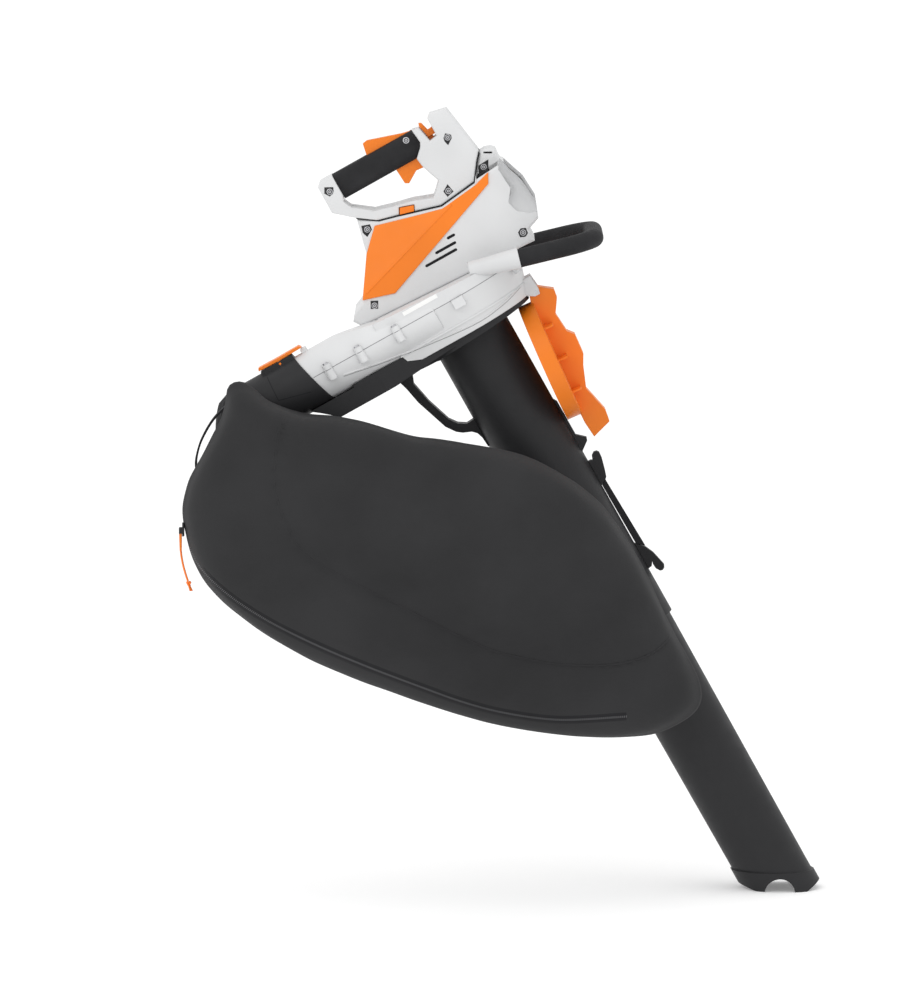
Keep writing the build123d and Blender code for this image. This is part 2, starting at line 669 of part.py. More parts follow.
with BuildPart() as outlet_adapter:
    with BuildSketch(adapter_axis):
        Circle(ADAPTER_R)
    extrude(amount=125)
    with BuildSketch(side.offset(-DUCT_Y)):
        Polygon((-291, 1015), (-230, 1015), (-232, 1036.4), (-242, 1036.8), (-286, 1036.8), align=None)
    extrude(amount=16, both=True)
    with BuildSketch(side.offset(-DUCT_Y)):
        Polygon((-295, 1033.2), (-228, 1033.2), (-228, 1040), (-295, 1040), align=None)
        with Locations((-256, 1033)):
            Circle(5)
    extrude(amount=13.4, both=True, mode=Mode.SUBTRACT)
    with BuildSketch(adapter_axis.offset(-20)):
        Circle(ADAPTER_BORE_R)
    extrude(amount=200, mode=Mode.SUBTRACT)
    split(bisect_by=outlet_end, keep=Keep.TOP)
    with BuildSketch(side.offset(-DUCT_Y)):
        with Locations(latch_pivot):
            Circle(1.8)
    extrude(amount=16, both=True, mode=Mode.SUBTRACT)
    outlet_adapter.part.label = "outlet_adapter"
    export_step(outlet_adapter.part, "parts/outlet_adapter.step")

with BuildPart() as latch_pin:
    with BuildSketch(side.offset(-DUCT_Y)):
        with Locations(latch_pivot):
            Circle(1.8)
    extrude(amount=16, both=True)
    latch_pin.part.label = "latch_pin"
    export_step(latch_pin.part, "parts/latch_pin.step")

with BuildPart() as outlet_latch:
    with BuildSketch(side.offset(-DUCT_Y)):
        Polygon((-288.5, 1038), (-287, 1042), (-258, 1041.6), (-221, 1042), (-218, 1038.2), (-224, 1038),
                (-246, 1037.2), (-266, 1037.2), align=None)
        with Locations(latch_pivot):
            Circle(4.4)
            Circle(1.8 + FIT, mode=Mode.SUBTRACT)
    extrude(amount=12, both=True)
    outlet_latch.part.label = "outlet_latch"
    export_step(outlet_latch.part, "parts/outlet_latch.step")

# ---------------------------------------------------------------- suction tube
with BuildPart() as tube_upper:
    with BuildSketch(side):
        Polygon((50, 790), (57, 788), (60.5, 782), (60.5, 727), (72.5, 716), (71, 711.5), (57, 701),
                (50, 701), align=None)
    extrude(amount=8, both=True)
    with BuildSketch(deck.offset(TUBE_SPLIT)):
        Circle(UPPER_TUBE_R)
    extrude(amount=TUBE_TOP - TUBE_SPLIT)
    with BuildSketch(deck.offset(TUBE_SPLIT)):
        Circle(UPPER_TUBE_R - WALL)
    extrude(amount=TUBE_TOP - TUBE_SPLIT, mode=Mode.SUBTRACT)
    tube_upper.part.label = "tube_upper"
    export_step(tube_upper.part, "parts/tube_upper.step")

# Wear band around the mouth, level with the ground
with BuildPart() as mouth_band:
    with BuildSketch(deck.offset(-70)):
        Circle(53)
        Circle(LOWER_BORE_R, mode=Mode.SUBTRACT)
    extrude(amount=200)
    split(bisect_by=Plane.XY.offset(28), keep=Keep.BOTTOM)

with BuildPart() as tube_lower:
    with BuildSketch(side):
        Polygon((LOWER_BORE_R, -70), (50.6, -70), (50.6, 20), (53.2, TUBE_SPLIT - 2), (54.3, TUBE_SPLIT),
                (54.3, 520), (LOWER_BORE_R, 520), align=None)
    revolve(axis=Axis((0, 0, 0), UP_TUBE))
    add(mouth_band.part)
    # The mouth is cut level with the ground, with an air arch on either side
    with BuildSketch(upright):
        Polygon((-130, 8), (-64, 8), (-41, 0), (34, 0), (54, 14), (90, 40), (90, -90), (-130, -90), align=None)
        with Locations((-6, -2.5)):
            Circle(22)
    extrude(amount=80, both=True, mode=Mode.SUBTRACT)
    tube_lower.part.label = "tube_lower"
    export_step(tube_lower.part, "parts/tube_lower.step")

with BuildPart() as tube_seal:
    with BuildSketch(deck.offset(TUBE_TOP)):
        Circle(UPPER_TUBE_R)
        Circle(UPPER_TUBE_R - WALL, mode=Mode.SUBTRACT)
    extrude(amount=FAN_FLOOR - TUBE_TOP)
    tube_seal.part.label = "tube_seal"
    export_step(tube_seal.part, "parts/tube_seal.step")

bracket_outer = [(-126, 925), (-120, 905), (-115, 880), (-98, 830), (-88, 816), (-80, 810), (-68, 805)]
bracket_outer += [(-62, 799), (-59, 790), (-58, 775), (-50, 775), (-50, 925)]
bracket_gap = [(-102, 920), (-107.5, 906), (-100.5, 873), (-88.5, 837), (-80, 825.5), (-69, 818.5)]
bracket_gap += [(-50, 820), (-50, 916), (-66, 919.5)]

# Arm that carries the outlet duct, faired into the adapter and into the round flange
with BuildPart() as flange_arm:
    with BuildSketch(side.offset(40)):
        Polygon((-250, 951), (-238, 942), (-217, 924), (-126, 924), (-60, 929), (-20, 932), (-20, 956), (-250, 956),
                align=None)
    extrude(amount=72)
    with BuildSketch(deck.offset(900)):
        Polygon((-260, -54), (-260, -106), (-140, -108), (-20, -96), (-20, -54), align=None)
    extrude(amount=70, mode=Mode.INTERSECT)
    with BuildSketch(facing((0, 924, -108), (0, 0, 1), (-1, 0, 0)).offset(300)):
        Polygon((0, 0), (9, 0), (0, 11), align=None)
    extrude(amount=-400, mode=Mode.SUBTRACT)

with BuildPart() as tube_flange:
    with BuildSketch(side):
        Polygon((-99, 922), (60, 931), (99, 933.5), (99, FAN_FLOOR), (-99, FAN_FLOOR), align=None)
    extrude(amount=99, both=True)
    with BuildSketch(deck.offset(900)):
        Circle(99)
    extrude(amount=60, mode=Mode.INTERSECT)
    add(flange_arm.part)
    add(lower_block.part, mode=Mode.SUBTRACT)
    add(fan_lower.part, mode=Mode.SUBTRACT)
    add(outlet_adapter.part, mode=Mode.SUBTRACT)
    add(duct_block.part, mode=Mode.SUBTRACT)
    with BuildSketch(side.offset(40)):
        Polygon((-260, 952), (-180, 952), (-180, 960), (-260, 960), align=None)
    extrude(amount=72, mode=Mode.SUBTRACT)
    with BuildSketch(side):
        Polygon(*bracket_outer, align=None)
        Polygon(*bracket_gap, align=None, mode=Mode.SUBTRACT)
    extrude(amount=14, both=True)
    with BuildSketch(deck.offset(700)):
        Circle(UPPER_TUBE_R)
    extrude(amount=260, mode=Mode.SUBTRACT)
    tube_flange.part.label = "tube_flange"
    export_step(tube_flange.part, "parts/tube_flange.step")

# ---------------------------------------------------------------- tie strap and its hooks
upper_hook = [(50, 684), (61, 684), (63.5, 682.5), (66, 688.7), (70.6, 692), (75.2, 691.3), (77.7, 688), (77, 679)]
upper_hook += [(72.8, 662.7), (69.5, 652), (66, 648.6), (58.5, 646), (55.5, 638), (50, 630)]
lower_hook = [(50, 556), (59.2, 544.8), (68.9, 534.8), (74.9, 521.5), (80.1, 499), (78.2, 495), (74.5, 493), (70.6, 494)]
lower_hook += [(66.8, 500), (66.2, 507), (67.2, 511.3), (63.3, 505.8), (57.2, 505), (50, 506)]

with BuildPart() as strap_hooks:
    with BuildSketch(side):
        Polygon(*upper_hook, align=None)
        Polygon(*lower_hook, align=None)
    extrude(amount=7, both=True)
    with BuildSketch(deck.offset(480)):
        Circle(UPPER_TUBE_R)
    extrude(amount=230, mode=Mode.SUBTRACT)
    strap_hooks.part.label = "strap_hooks"
    export_step(strap_hooks.part, "parts/strap_hooks.step")

with BuildPart() as tie_strap:
    with BuildSketch(side):
        Polygon((58, 648), (66, 650), (69.5, 536), (59, 545), align=None)
    extrude(amount=3, both=True)
    add(strap_hooks.part, mode=Mode.SUBTRACT)
    tie_strap.part.label = "tie_strap"
    export_step(tie_strap.part, "parts/tie_strap.step")

# ---------------------------------------------------------------- intake flap, swung open beside the tube
flap = facing((81.3, 838.8, 0), (0.091, 0.996, 0), (0.996, -0.091, 0))
flap_back = [(98, 927), (103, 943), (113, 946), (136.5, 928), (134.5, 915), (121, 895), (123, 866), (131, 856)]
flap_back += [(128, 825), (120, 811), (107, 779), (116, 739), (113, 721), (83, 712.5), (81, 737), (81.7, 749.4)]

with BuildPart() as intake_flap:
    with BuildSketch(flap.offset(-11.5)):
        Circle(FLAP_R)
        Circle(FLAP_R - 4, mode=Mode.SUBTRACT)
    extrude(amount=23)
    with BuildSketch(flap.offset(8.5)):
        Circle(FLAP_R)
    extrude(amount=3)
    with BuildSketch(side):
        Polygon(*flap_back, align=None)
    extrude(amount=17, both=True)
    # Stiffening ribs across the back
    for place in (-50, 0, 50):
        with BuildSketch(flap.offset(11.5)):
            with Locations((place, 0)):
                Rectangle(3, 120)
        extrude(amount=14)
    with BuildSketch(side):
        with Locations(flap_pivot):
            Circle(2.5 + FIT)
    extrude(amount=20, both=True, mode=Mode.SUBTRACT)
    intake_flap.part.label = "intake_flap"
    export_step(intake_flap.part, "parts/intake_flap.step")

# ---------------------------------------------------------------- bag
bag_outline = [(-786, 733), (-836, 662), (-861, 600), (-864.5, 545), (-843, 480), (-790, 421), (-690, 355)]
bag_outline += [(-560, 304), (-430, 262), (-300, 242), (-195, 245), (-132, 278), (-125, 322), (-165, 400)]
bag_outline += [(-225, 522), (-285, 597), (-378, 650), (-490, 670), (-600, 692), (-715, 706)]
bag_centre = (-540, 480)
bag_slices = [(-236, 0.6), (-224, 0.82), (-196, 0.96), (-150, 1.0), (-104, 0.96), (-76, 0.82), (-64, 0.6)]


def bag_slice(scale):
    """Outline of the bag drawn in about its centre."""
    x0, z0 = bag_centre
    with BuildSketch(mode=Mode.PRIVATE) as slice_face:
        with BuildLine():
            Spline(*[(x0 + scale * (x - x0), z0 + scale * (z - z0)) for x, z in bag_outline], periodic=True)
        make_face()
    return slice_face.sketch


with BuildPart() as bag_inside:
    for y, scale in bag_slices:
        with BuildSketch(upright.offset(-(-150 + 0.972 * (y + 150)))):
            add(bag_slice(scale * 0.992))
    loft()
    with BuildSketch(adapter_axis.offset(60)):
        Circle(43)
    extrude(amount=100)

with BuildPart() as bag_neck:
    with BuildSketch(adapter_axis.offset(60)):
        Circle(45.5)
    extrude(amount=100)
    split(bisect_by=bag_mouth, keep=Keep.BOTTOM)

with BuildPart() as bag:
    for y, scale in bag_slices:
        with BuildSketch(upright.offset(-y)):
            add(bag_slice(scale))
    loft()
    add(bag_neck.part)
    add(bag_inside.part, mode=Mode.SUBTRACT)
    bag.part.label = "bag"
    export_step(bag.part, "parts/bag.step")

with BuildPart() as bag_collar:
    with BuildSketch(adapter_axis.offset(125)):
        Circle(43)
        Circle(ADAPTER_BORE_R, mode=Mode.SUBTRACT)
    extrude(amount=10)
    bag_collar.part.label = "bag_collar"
    export_step(bag_collar.part, "parts/bag_collar.step")

with BuildPart() as grab_strap:
    with BuildSketch(upright.offset(112)):
        with BuildLine():
            Spline((-791, 734), (-823, 700), (-841, 668), (-851, 636))
        trace(line_width=3)
    extrude(amount=25)
    add(bag.part, mode=Mode.SUBTRACT)
    add(bag_inside.part, mode=Mode.SUBTRACT)
    grab_strap.part.label = "grab_strap"
    export_step(grab_strap.part, "parts/grab_strap.step")

# Zip slider at the bag's rear edge, its hanging pull, and the cord and knot on the pull
ZIP_Y = -150
zip_pivot = (-870.5, 541)

with BuildPart() as zip_slider:
    with BuildSketch(upright.offset(-ZIP_Y)):
        Polygon((-868.3, 533), (-865.5, 533), (-865.5, 552), (-868.3, 552), align=None)
    extrude(amount=7, both=True)
    with BuildSketch(upright.offset(-ZIP_Y)):
        Polygon((-873, 537), (-867, 537), (-867, 545), (-873, 545), align=None)
    extrude(amount=7, both=True)
    with BuildSketch(upright.offset(-ZIP_Y)):
        Polygon((-880, 530), (-868.3, 530), (-868.3, 550), (-880, 550), align=None)
    extrude(amount=4.4, both=True, mode=Mode.SUBTRACT)
    with BuildSketch(upright.offset(-ZIP_Y)):
        with Locations(zip_pivot):
            Circle(1)
    extrude(amount=7, both=True)
    add(bag.part, mode=Mode.SUBTRACT)
    zip_slider.part.label = "zip_slider"
    export_step(zip_slider.part, "parts/zip_slider.step")

with BuildPart() as zip_pull:
    with BuildSketch(upright.offset(-ZIP_Y)):
        Polygon((-871.5, 541), (-871.5, 512), (-869.5, 512), (-869.5, 541), align=None)
        with Locations(zip_pivot):
            Circle(1.9)
            Circle(1 + FIT, mode=Mode.SUBTRACT)
    extrude(amount=3.8, both=True)
    zip_pull.part.label = "zip_pull"
    export_step(zip_pull.part, "parts/zip_pull.step")

cord_route = [(-870.5, 512), (-869, 492), (-860.5, 468)]
knot_centre = (-859.4, 464.8)

with BuildPart() as pull_knot:
    with BuildSketch(upright.offset(-ZIP_Y)):
        with Locations(knot_centre):
            Circle(4.2)
        split(bisect_by=Plane(origin=(knot_centre[0], knot_centre[1], 0), z_dir=(1, 0, 0)), keep=Keep.TOP)
    revolve(axis=Axis((knot_centre[0], ZIP_Y, knot_centre[1]), (0, 0, 1)))
    with BuildSketch(Plane(origin=(knot_centre[0], ZIP_Y, knot_centre[1]), z_dir=(0.4, 0, -1))):
        Circle(1.5)
    extrude(amount=12)
    pull_knot.part.label = "pull_knot"
    export_step(pull_knot.part, "parts/pull_knot.step")

with BuildPart() as pull_cord:
    with BuildLine(upright.offset(-ZIP_Y)) as cord_line:
        FilletPolyline(*cord_route, radius=67)
    with BuildSketch(Plane(origin=cord_line.line @ 0, z_dir=cord_line.line % 0)):
        Circle(1.5)
    sweep()
    add(pull_knot.part, mode=Mode.SUBTRACT)
    add(zip_pull.part, mode=Mode.SUBTRACT)
    pull_cord.part.label = "pull_cord"
    export_step(pull_cord.part, "parts/pull_cord.step")

# ---------------------------------------------------------------- springs and leads
trigger_coil = Helix(3.1, 12.4, 2.6, center=direction(30, 1195.05), direction=UP_TUBE)
lever_coil = Helix(3.8, 15.2, 3, center=direction(6, 1208.05), direction=UP_TUBE)
slider_coil = Helix(2.2, 8.8, 2.4, center=direction(93.9, 1201), direction=ACROSS)
button_coil = Helix(1.25, 2.1, 2.6, center=direction(8.5, 1133.5, -27.5), direction=(0, 1, 0))
latch_coil = Helix(1.4, 2.6, 3.2, center=direction(-280, 1034.1, DUCT_Y), direction=UP_TUBE)

with BuildPart() as trigger_spring:
    with BuildSketch(Plane(origin=trigger_coil @ 0, z_dir=trigger_coil % 0)):
        Circle(0.4)
    sweep(path=trigger_coil, is_frenet=True)
    trigger_spring.part.label = "trigger_spring"
    export_step(trigger_spring.part, "parts/trigger_spring.step")

with BuildPart() as lever_spring:
    with BuildSketch(Plane(origin=lever_coil @ 0, z_dir=lever_coil % 0)):
        Circle(0.4)
    sweep(path=lever_coil, is_frenet=True)
    lever_spring.part.label = "lever_spring"
    export_step(lever_spring.part, "parts/lever_spring.step")

with BuildPart() as slider_spring:
    with BuildSketch(Plane(origin=slider_coil @ 0, z_dir=slider_coil % 0)):
        Circle(0.35)
    sweep(path=slider_coil, is_frenet=True)
    slider_spring.part.label = "slider_spring"
    export_step(slider_spring.part, "parts/slider_spring.step")

with BuildPart() as button_spring:
    with BuildSketch(Plane(origin=button_coil @ 0, z_dir=button_coil % 0)):
        Circle(0.3)
    sweep(path=button_coil, is_frenet=True)
    button_spring.part.label = "button_spring"
    export_step(button_spring.part, "parts/button_spring.step")

with BuildPart() as latch_spring:
    with BuildSketch(Plane(origin=latch_coil @ 0, z_dir=latch_coil % 0)):
        Circle(0.3)
    sweep(path=latch_coil, is_frenet=True)
    latch_spring.part.label = "latch_spring"
    export_step(latch_spring.part, "parts/latch_spring.step")

with BuildPart() as motor_leads:
    for y in (-14, 0, 14):
        with BuildLine(side.offset(-y)) as lead:
            FilletPolyline((15, 1096), (15, 1101), (48.5, 1101), radius=3)
        with BuildSketch(Plane(origin=lead.line @ 0, z_dir=lead.line % 0)):
            Circle(1.2)
        sweep(path=lead.line)
    motor_leads.part.label = "motor_leads"
    export_step(motor_leads.part, "parts/motor_leads.step")
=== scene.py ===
"""Looks of the leaf vacuum mulcher: materials, fabric bag, trim and light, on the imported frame."""
import json
import math

import bpy
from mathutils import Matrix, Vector, noise
from mathutils.bvhtree import BVHTree


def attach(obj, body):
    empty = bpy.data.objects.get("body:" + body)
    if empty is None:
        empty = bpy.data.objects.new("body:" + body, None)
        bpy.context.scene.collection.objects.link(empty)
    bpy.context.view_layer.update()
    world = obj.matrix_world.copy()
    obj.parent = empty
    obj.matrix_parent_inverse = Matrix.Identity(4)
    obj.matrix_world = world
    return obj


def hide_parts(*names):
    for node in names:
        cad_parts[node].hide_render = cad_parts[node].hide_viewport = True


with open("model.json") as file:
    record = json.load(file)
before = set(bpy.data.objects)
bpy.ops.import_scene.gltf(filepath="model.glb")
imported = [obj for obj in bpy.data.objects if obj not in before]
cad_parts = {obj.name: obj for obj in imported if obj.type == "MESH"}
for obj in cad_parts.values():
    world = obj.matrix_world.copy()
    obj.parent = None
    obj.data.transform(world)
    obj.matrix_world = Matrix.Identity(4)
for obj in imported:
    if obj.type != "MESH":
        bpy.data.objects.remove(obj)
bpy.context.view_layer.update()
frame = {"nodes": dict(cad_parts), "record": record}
nodes = frame["nodes"]

MM = 0.001
LEAN = math.radians(29.3)
UP_TUBE = Vector((-math.sin(LEAN), 0, math.cos(LEAN)))
ACROSS = Vector((math.cos(LEAN), 0, math.sin(LEAN)))


def at(r, h, y=0.0):
    """Place given across the tube, along the tube and sideways, in millimetres."""
    return (ACROSS * r + UP_TUBE * h + Vector((0, y, 0))) * MM


# ---------------------------------------------------------------- materials
class Shade:
    """Node tree of one principled material, with short helpers for its texture nodes."""

    def __init__(self, name, color, roughness, **sockets):
        self.material = bpy.data.materials.new(name)
        self.material.use_nodes = True
        self.tree = self.material.node_tree
        self.shader = self.tree.nodes["Principled BSDF"]
        self.shader.inputs["Base Color"].default_value = (*color, 1)
        self.shader.inputs["Roughness"].default_value = roughness
        for key, value in sockets.items():
            self.shader.inputs[key.replace("_", " ")].default_value = value
        self.place = self.node("ShaderNodeTexCoord").outputs["Object"]
        self.relief = None

    def soften(self, radius):
        """Rounds the edges as light sees them."""
        self.relief = self.node("ShaderNodeBevel", samples=6, Radius=radius).outputs["Normal"]
        self.link(self.relief, self.shader.inputs["Normal"])

    def node(self, kind, **settings):
        made = self.tree.nodes.new(kind)
        for key, value in settings.items():
            if key in made.inputs:
                made.inputs[key].default_value = value
            else:
                setattr(made, key, value)
        return made

    def link(self, source, target):
        self.tree.links.new(source, target)

    def stretched(self, scale=(1, 1, 1), turn=(0, 0, 0)):
        mapping = self.node("ShaderNodeMapping")
        mapping.inputs["Scale"].default_value = scale
        mapping.inputs["Rotation"].default_value = turn
        self.link(self.place, mapping.inputs["Vector"])
        return mapping.outputs["Vector"]

    def noise(self, scale, detail=3.0, vector=None):
        made = self.node("ShaderNodeTexNoise", Scale=scale, Detail=detail)
        self.link(vector or self.place, made.inputs["Vector"])
        return made.outputs["Fac"]

    def wave(self, scale, vector, distortion=0.0, direction="X"):
        made = self.node("ShaderNodeTexWave", Scale=scale, Distortion=distortion)
        made.bands_direction = direction
        self.link(vector, made.inputs["Vector"])
        return made.outputs["Fac"]

    def spots(self, scale, vector=None):
        made = self.node("ShaderNodeTexVoronoi", Scale=scale)
        self.link(vector or self.place, made.inputs["Vector"])
        return made.outputs["Distance"]

    def math(self, operation, a, b):
        made = self.node("ShaderNodeMath", operation=operation)
        for index, value in enumerate((a, b)):
            if isinstance(value, (int, float)):
                made.inputs[index].default_value = value
            else:
                self.link(value, made.inputs[index])
        return made.outputs[0]

    def span(self, factor, low, high, start=0.3, end=0.7):
        """Number that runs from low to high as a texture runs from start to end."""
        made = self.node("ShaderNodeMapRange")
        self.link(factor, made.inputs["Value"])
        for key, value in (("From Min", start), ("From Max", end), ("To Min", low), ("To Max", high)):
            made.inputs[key].default_value = value
        return made.outputs["Result"]

    def tint(self, factor, low, high, start=0.3, end=0.7):
        ramp = self.node("ShaderNodeValToRGB")
        ramp.color_ramp.elements[0].position = start
        ramp.color_ramp.elements[1].position = end
        ramp.color_ramp.elements[0].color = (*low, 1)
        ramp.color_ramp.elements[1].color = (*high, 1)
        self.link(factor, ramp.inputs["Fac"])
        self.link(ramp.outputs["Color"], self.shader.inputs["Base Color"])

    def roughen(self, factor, low, high):
        self.link(self.span(factor, low, high), self.shader.inputs["Roughness"])

    def bump(self, height, depth, strength=1.0):
        """Adds a relief of this depth in metres on top of the earlier ones."""
        made = self.node("ShaderNodeBump", Strength=strength, Distance=depth)
        self.link(height, made.inputs["Height"])
        if self.relief:
            self.link(self.relief, made.inputs["Normal"])
        self.relief = made.outputs["Normal"]
        self.link(self.relief, self.shader.inputs["Normal"])


def shaded(color, amount):
    return tuple(channel * amount for channel in color)


def moulded(name, color, roughness, grain=1400, depth=0.00008, soft=0.0016, **sockets):
    """Moulded plastic: slight mottling, faint flow marks and a fine spark-eroded grain."""
    shade = Shade(name, color, roughness, **sockets)
    shade.soften(soft)
    broad = shade.noise(9, 2)
    shade.tint(broad, shaded(color, 0.94), shaded(color, 1.05))
    shade.roughen(shade.noise(60, 3), roughness - 0.05, roughness + 0.07)
    shade.bump(shade.noise(grain, 2), depth, 0.5)
    shade.bump(shade.noise(35, 2), 0.0003, 0.12)
    return shade.material


ORANGE = (0.87, 0.205, 0.009)
WHITE = (0.665, 0.67, 0.675)
DARK = (0.022, 0.022, 0.0235)

orange_plastic = moulded("orange_plastic", ORANGE, 0.4, Specular_IOR_Level=0.35)
light_plastic = moulded("light_plastic", WHITE, 0.48, Specular_IOR_Level=0.35)
black_plastic = moulded("black_plastic", DARK, 0.5, grain=900, depth=0.0002, Specular_IOR_Level=0.22)
# Painted shade for the screw sockets and the vent interior, and the colour of the dark adapter seam lines
shade_and_seam_black = moulded("shade_and_seam_black", (0.02, 0.02, 0.022), 0.8, Specular_IOR_Level=0.1)
# Painted shade for the floors of the screw recesses
recess_shade_grey = moulded("recess_shade_grey", (0.06, 0.06, 0.062), 0.7, Specular_IOR_Level=0.15)
# Grey of the shut line, and painted shade under the raised line of the fan housing
seam_and_shade_grey = moulded("seam_and_shade_grey", (0.23, 0.23, 0.24), 0.7, Specular_IOR_Level=0.15)
# Housing white dimmed as painted shade for the battery recess
scoop_shaded_white = moulded("scoop_shaded_white", (0.6, 0.605, 0.61), 0.5, Specular_IOR_Level=0.3)
label_white = moulded("label_white", (0.86, 0.86, 0.85), 0.35, Specular_IOR_Level=0.4)


def rubber_shade(name, color, roughness):
    shade = Shade(name, color, roughness, Specular_IOR_Level=0.18)
    shade.soften(0.0015)
    shade.tint(shade.noise(14, 3), shaded(color, 0.85), shaded(color, 1.15))
    shade.roughen(shade.noise(90, 3), roughness - 0.05, roughness + 0.1)
    shade.bump(shade.spots(1100), 0.00018, 0.5)
    return shade.material


soft_black = rubber_shade("soft_black", (0.0215, 0.0215, 0.023), 0.7)


def metal_shade(name, color, roughness):
    shade = Shade(name, color, roughness, Metallic=1.0)
    brushed = shade.noise(900, 2, shade.stretched((1, 1, 0.06)))
    shade.tint(brushed, shaded(color, 0.8), color)
    shade.roughen(brushed, roughness - 0.08, roughness + 0.12)
    shade.bump(brushed, 0.00005, 0.4)
    return shade.material


steel = metal_shade("steel", (0.62, 0.62, 0.64), 0.34)
copper = metal_shade("copper", (0.8, 0.5, 0.3), 0.3)


def woven_shade(name, color, thread, roughness=0.85, folds=True):
    """Plain weave whose threads are this many metres wide."""
    shade = Shade(name, color, roughness, Specular_IOR_Level=0.12, Sheen_Weight=0.04, Sheen_Roughness=0.6)
    across = shade.stretched((1, 1, 1), (0, math.radians(33), 0))
    warp = shade.wave(0.5 / thread / 3.14, across, 0.4, "X")
    weft = shade.wave(0.5 / thread / 3.14, across, 0.4, "Z")
    weave = shade.math("MAXIMUM", warp, weft)
    shade.tint(shade.math("ADD", shade.math("MULTIPLY", shade.noise(7, 4), 0.8),
                          shade.math("MULTIPLY", weave, 0.2)), shaded(color, 0.8), shaded(color, 1.2))
    shade.bump(weave, thread * 0.35, 0.6)
    if folds:
        shade.bump(shade.noise(28, 4, shade.stretched((1, 1, 2.2), (0, math.radians(33), 0))), 0.0016, 0.35)
    return shade.material


bag_fabric = woven_shade("bag_fabric", (0.027, 0.027, 0.0282), 0.0007)
webbing = woven_shade("webbing", (0.016, 0.016, 0.0175), 0.0009, folds=False)
thread = woven_shade("thread", (0.038, 0.038, 0.04), 0.0004, folds=False)
zip_grey = woven_shade("zip_grey", (0.1, 0.1, 0.104), 0.0004, folds=False)
cord_fabric = woven_shade("cord_fabric", (0.87, 0.2, 0.03), 0.0006, 0.7, folds=False)

FINISH = {
    "orange_plastic": orange_plastic,
    "light_plastic": light_plastic,
    "black_plastic": black_plastic,
    "soft_black": soft_black,
    "bag_fabric": bag_fabric,
    "cord": cord_fabric,
    "steel": steel,
    "copper": copper,
}


def paint(obj, material):
    """Gives an object one material, through its own slots."""
    if not obj.material_slots:
        obj.data.materials.append(material)
    for place in obj.material_slots:
        place.link = "OBJECT"
        place.material = material


for subpart in frame["record"]["subparts"]:
    paint(nodes[subpart["node"]], FINISH[subpart["material_slot"]])
paint(nodes["zip_slider"], black_plastic)
paint(nodes["zip_pull"], cord_fabric)


# ---------------------------------------------------------------- making pieces
def piece(name, verts, faces, material, body="machine", slot=None, smooth=True):
    """New mesh object that rides on a CAD body."""
    mesh = bpy.data.meshes.new(name)
    mesh.from_pydata([tuple(v) for v in verts], [], faces)
    mesh.update()
    for polygon in mesh.polygons:
        polygon.use_smooth = smooth
    obj = bpy.data.objects.new(name, mesh)
    bpy.context.scene.collection.objects.link(obj)
    paint(obj, material)
    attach(obj, body)
    return obj


def closed_line(points, count):
    """Evenly spaced places on the smooth closed line through the points."""
    fine = []
    total = len(points)
    for i in range(total):
        p0, p1, p2, p3 = (Vector(points[(i + k) % total]) for k in (-1, 0, 1, 2))
        for step in range(24):
            t = step / 24
            fine.append(0.5 * ((2 * p1) + (p2 - p0) * t + (2 * p0 - 5 * p1 + 4 * p2 - p3) * t * t
                               + (3 * p1 - p0 - 3 * p2 + p3) * t ** 3))
    return evenly(fine + [fine[0]], count + 1)[:-1]


def open_line(points, count):
    """Evenly spaced places on the smooth open line through the points."""
    points = [Vector(p) for p in points]
    points = [2 * points[0] - points[1]] + points + [2 * points[-1] - points[-2]]
    fine = []
    for p0, p1, p2, p3 in zip(points, points[1:], points[2:], points[3:]):
        for step in range(24):
            t = step / 24
            fine.append(0.5 * ((2 * p1) + (p2 - p0) * t + (2 * p0 - 5 * p1 + 4 * p2 - p3) * t * t
                               + (3 * p1 - p0 - 3 * p2 + p3) * t ** 3))
    return evenly(fine + [points[-2]], count)


def evenly(line, count):
    """Resamples a line to this many evenly spaced places."""
    reach = [0.0]
    for a, b in zip(line, line[1:]):
        reach.append(reach[-1] + (b - a).length)
    places = []
    j = 0
    for i in range(count):
        want = reach[-1] * i / (count - 1)
        while j < len(line) - 2 and reach[j + 1] < want:
            j += 1
        part = (want - reach[j]) / max(reach[j + 1] - reach[j], 1e-12)
        places.append(line[j].lerp(line[j + 1], part))
    return places


# ---------------------------------------------------------------- bag
# Places in the plane of the flank are (X, Z) in millimetres
BAG_OUTLINE = [(-794, 755), (-804, 746), (-808, 724), (-817, 697), (-836, 660), (-863, 606), (-868.5, 552),
               (-846, 480), (-792, 421), (-690, 355), (-560, 304), (-430, 262),
               (-300, 242), (-195, 245), (-132, 278),
               (-125, 322), (-165, 400), (-225, 522), (-285, 597), (-378, 650), (-490, 672), (-540, 677),
               (-600, 697), (-650, 707), (-700, 709), (-744, 728), (-764, 745), (-780, 755)]
BAG_CENTRE = Vector((-540, 480))
# From the rim to the middle of each flank: (y, size of the outline there)
BAG_PROFILE = [(-150, 1.0), (-196, 0.965), (-222, 0.84), (-236, 0.62), (-242, 0.36), (-244, 0.0)]
BAG_BACK = [(-150, 1.0), (-104, 0.965), (-78, 0.84), (-66, 0.62), (-63, 0.36), (-62, 0.0)]
PANEL_SEAM = [(-714, 712), (-728, 683), (-734, 630), (-730, 596), (-713, 553), (-690, 517), (-640, 487),
              (-560, 446), (-442, 387), (-380, 368), (-327, 359), (-270, 357), (-227, 362), (-190, 376),
              (-158, 404)]
ZIP_LINE = [(-863, 532), (-846.5, 496), (-805, 458), (-752, 423), (-690, 392), (-620, 361), (-527, 325),
            (-467, 303), (-407, 287), (-330, 277), (-233, 281)]


def profile_points(table, count):
    """(y, scale) from the rim to the middle of a flank, even along the profile's curve."""
    weight, steps = 110, 200
    line = open_line([(y, weight * s) for y, s in table], steps)
    picked = [line[int(j / count * (steps - 1))] for j in range(count)]
    return [(p.x, p.y / weight) for p in picked]


